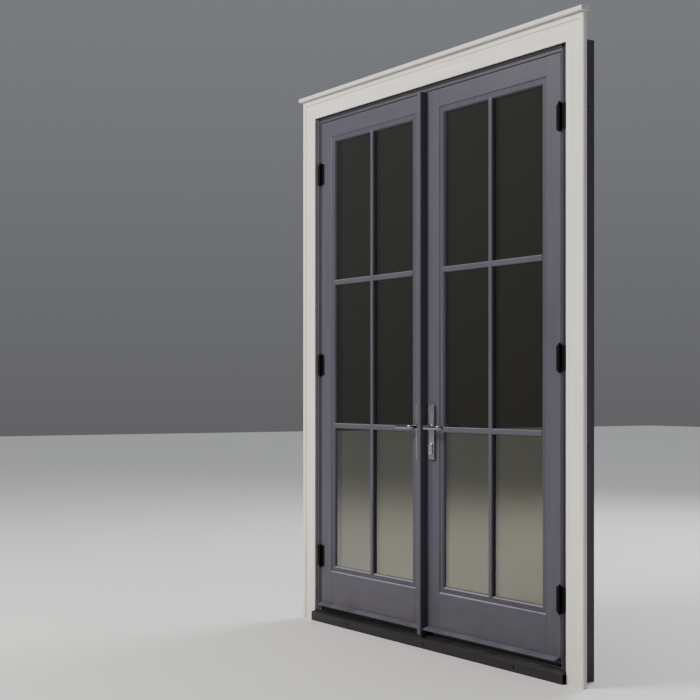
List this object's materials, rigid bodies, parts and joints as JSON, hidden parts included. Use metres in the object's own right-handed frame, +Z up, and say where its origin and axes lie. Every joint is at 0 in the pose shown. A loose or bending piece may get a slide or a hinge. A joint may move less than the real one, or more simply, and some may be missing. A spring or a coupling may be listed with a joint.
{
  "type": "french doors",
  "caption": "Out-swinging pair of glazed doors with divided lites, in a slate frame with white casing, sill, hinges, lever handles, shoot bolts and a centre astragal.",
  "frame": {"origin": "under the sill, midway between the jambs, in the plane of the wall's outer face", "axes": "+X to the right seen from outside, +Y into the building, +Z up"},
  "size_m": [2.094, 0.1785, 2.558],
  "materials": {
    "leaf_paint": "satin slate paint",
    "bead_paint": "satin slate paint",
    "frame_paint": "satin slate paint",
    "casing_paint": "satin white paint",
    "drip_cap_paint": "white coated sheet",
    "sill_metal": "dark anodised",
    "sill_cap_paint": "satin slate paint",
    "clear_glass": "clear sealed unit",
    "spacer_metal": "black warm-edge spacer",
    "seal_rubber": "black extruded rubber",
    "hinge_black": "matt black",
    "lock_steel": "zinc-plated steel",
    "lock_furniture": "satin nickel",
    "lever_metal": "satin nickel, handled",
    "cylinder_metal": "nickel-plated brass"
  },
  "bodies": {
    "frame": {"right_jamb": "frame_paint", "left_jamb": "frame_paint", "head_jamb": "frame_paint", "sill": "sill_metal", "sill_cap": "sill_cap_paint", "frame_seals": "seal_rubber", "casing_boards": "casing_paint", "back_bands": "casing_paint", "drip_cap": "drip_cap_paint", "frame_hinge_leaves": "hinge_black", "hinge_pins": "hinge_black", "head_keepers": "lock_steel"},
    "left_leaf": {"left_hinge_stile": "leaf_paint", "left_lock_stile": "leaf_paint", "left_top_rail": "leaf_paint", "left_bottom_rail": "leaf_paint", "left_glazing_beads": "bead_paint", "left_glazing_bars": "bead_paint", "left_glass_panes": "clear_glass", "left_glass_spacer": "spacer_metal", "left_setting_blocks": "seal_rubber", "left_drip_ledge": "leaf_paint", "left_sweep_seal": "seal_rubber", "left_hinge_leaves": "hinge_black", "left_faceplate": "lock_steel", "left_lock_case": "lock_steel", "left_lock_plates": "lock_furniture", "left_plate_screws": "lock_furniture", "astragal": "leaf_paint", "meeting_seal": "seal_rubber"},
    "left_lever": {"left_levers": "lever_metal", "left_spindle": "lock_steel"},
    "left_top_bolt": {"left_top_rod": "lock_steel"},
    "left_bottom_bolt": {"left_bottom_rod": "lock_steel"},
    "right_leaf": {"right_hinge_stile": "leaf_paint", "right_lock_stile": "leaf_paint", "right_top_rail": "leaf_paint", "right_bottom_rail": "leaf_paint", "right_glazing_beads": "bead_paint", "right_glazing_bars": "bead_paint", "right_glass_panes": "clear_glass", "right_glass_spacer": "spacer_metal", "right_setting_blocks": "seal_rubber", "right_drip_ledge": "leaf_paint", "right_sweep_seal": "seal_rubber", "right_hinge_leaves": "hinge_black", "right_faceplate": "lock_steel", "right_lock_case": "lock_steel", "right_lock_plates": "lock_furniture", "right_plate_screws": "lock_furniture", "lock_cylinder": "cylinder_metal", "cylinder_collar": "lock_furniture"},
    "right_lever": {"right_levers": "lever_metal", "right_spindle": "lock_steel"},
    "right_top_bolt": {"right_top_rod": "lock_steel"},
    "right_bottom_bolt": {"right_bottom_rod": "lock_steel"},
    "latch": {"latch_bolt": "lock_steel"},
    "bolt": {"deadbolt": "lock_steel"},
    "key_turn": {"key_plug": "cylinder_metal", "thumb_turn": "lock_furniture"}
  },
  "joints": [
    {"name": "left_leaf_swing", "type": "hinge", "parent": "frame", "child": "left_leaf", "pos_m": [-0.889, -0.0085, 1.24], "axis": [0, 0, -1], "range_deg": [0, 115]},
    {"name": "left_lever_turn", "type": "hinge", "parent": "left_leaf", "child": "left_lever", "pos_m": [-0.052, 0.022, 0.958], "axis": [0, 1, 0], "range_deg": [0, 45]},
    {"name": "left_top_bolt_slide", "type": "slide", "parent": "left_leaf", "child": "left_top_bolt", "axis": [0, 0, 1], "range_m": [0, 0.022]},
    {"name": "left_bottom_bolt_slide", "type": "slide", "parent": "left_leaf", "child": "left_bottom_bolt", "axis": [0, 0, -1], "range_m": [0, 0.022]},
    {"name": "right_leaf_swing", "type": "hinge", "parent": "frame", "child": "right_leaf", "pos_m": [0.889, -0.0085, 1.24], "axis": [0, 0, 1], "range_deg": [0, 115]},
    {"name": "right_lever_turn", "type": "hinge", "parent": "right_leaf", "child": "right_lever", "pos_m": [0.047, 0.022, 0.958], "axis": [0, -1, 0], "range_deg": [0, 45]},
    {"name": "right_top_bolt_slide", "type": "slide", "parent": "right_leaf", "child": "right_top_bolt", "axis": [0, 0, 1], "range_m": [0, 0.022]},
    {"name": "right_bottom_bolt_slide", "type": "slide", "parent": "right_leaf", "child": "right_bottom_bolt", "axis": [0, 0, -1], "range_m": [0, 0.022]},
    {"name": "latch_slide", "type": "slide", "parent": "right_leaf", "child": "latch", "axis": [-1, 0, 0], "range_m": [0, 0.012]},
    {"name": "key_turn_spin", "type": "hinge", "parent": "right_leaf", "child": "key_turn", "pos_m": [0.047, 0.022, 0.873], "axis": [0, 1, 0], "range_deg": [0, 90]},
    {"name": "deadbolt_slide", "type": "slide", "parent": "right_leaf", "child": "bolt", "axis": [-1, 0, 0], "range_m": [0, 0.018]}
  ],
  "couplings": [
    {"joint": "left_top_bolt_slide", "follows": "left_lever_turn", "m_per_rad": 0.028011},
    {"joint": "left_bottom_bolt_slide", "follows": "left_lever_turn", "m_per_rad": 0.028011},
    {"joint": "right_top_bolt_slide", "follows": "right_lever_turn", "m_per_rad": 0.028011},
    {"joint": "right_bottom_bolt_slide", "follows": "right_lever_turn", "m_per_rad": 0.028011},
    {"joint": "latch_slide", "follows": "right_lever_turn", "m_per_rad": 0.015279},
    {"joint": "deadbolt_slide", "follows": "key_turn_spin", "m_per_rad": 0.011459}
  ]
}
